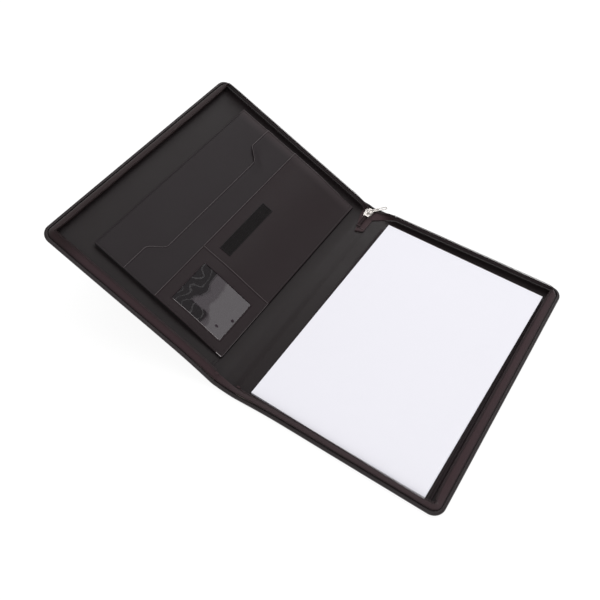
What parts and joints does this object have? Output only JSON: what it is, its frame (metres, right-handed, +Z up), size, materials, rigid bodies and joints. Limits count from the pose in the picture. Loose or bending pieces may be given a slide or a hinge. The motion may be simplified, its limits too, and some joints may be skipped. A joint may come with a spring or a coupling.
{
  "type": "zippered padfolio",
  "caption": "Black leather zip-round padfolio for an A4 pad, open with its organiser side tilted up and its zip slider on the spine.",
  "frame": {"origin": "centre of the writing-side cover's underside", "axes": "+X from the organiser side to the writing side, +Y along the spine to the end with the zip slider, +Z up"},
  "size_m": [0.501, 0.3382, 0.1208],
  "materials": {
    "black_leather": "soft grain",
    "lining_cloth": "matt",
    "grey_board": "matt",
    "zip_tape": "woven",
    "zip_coil": "satin",
    "nickel": "polished",
    "paper": "uncoated",
    "pad_board": "matt",
    "pad_glue": "matt",
    "clear_film": "clear",
    "hook_fabric": "hooked"
  },
  "bodies": {
    "right_half": {"right_outer_leather": "black_leather", "right_board": "grey_board", "right_lining": "lining_cloth", "right_zip_tape": "zip_tape", "right_zip_coil": "zip_coil", "right_top_stop": "zip_coil", "pad_pocket": "black_leather", "pad_card": "pad_board", "pad_sheets": "paper", "pad_gum": "pad_glue"},
    "spine": {"spine_leather": "black_leather", "spine_lining": "lining_cloth", "stub_tape": "zip_tape", "stub_chain": "zip_coil", "stub_stop": "zip_coil", "stub_patch": "zip_tape", "zip_tail_right": "zip_tape", "zip_tail_left": "zip_tape", "zip_foot_tape": "zip_tape"},
    "left_half": {"left_outer_leather": "black_leather", "left_board": "grey_board", "left_lining": "lining_cloth", "left_zip_tape": "zip_tape", "left_zip_coil": "zip_coil", "left_top_stop": "zip_coil", "document_pocket": "black_leather", "document_gusset_head": "lining_cloth", "document_gusset_foot": "lining_cloth", "scooped_pocket": "black_leather", "accessory_pocket": "black_leather", "card_pocket": "black_leather", "card_window": "clear_film", "pocket_divider": "black_leather", "hook_strip": "hook_fabric"},
    "slider": {"slider_body": "nickel"},
    "pull": {"pull_tab": "nickel"}
  },
  "joints": [
    {"name": "right_crease", "type": "hinge", "parent": "right_half", "child": "spine", "pos_m": [-0.1245, 0, 0.0016], "axis": [0, 1, 0], "range_deg": [-5.75, 84.25], "deforming": ["zip_tail_right", "zip_foot_tape"]},
    {"name": "left_crease", "type": "hinge", "parent": "spine", "child": "left_half", "pos_m": [-0.15216, 0, 0.00439], "axis": [0, 1, 0], "range_deg": [-20.15, 69.85], "deforming": ["zip_tail_left", "zip_foot_tape"]},
    {"name": "zip_slide", "type": "slide", "parent": "spine", "child": "slider", "axis": [0, 1, 0], "range_m": [-0.016, 0], "deforming": ["stub_chain"]},
    {"name": "pull_hinge", "type": "hinge", "parent": "slider", "child": "pull", "pos_m": [-0.13675, 0.1496, 0.00967], "axis": [0.932, -0.3502, -0.0938], "range_deg": [0, 80]}
  ]
}
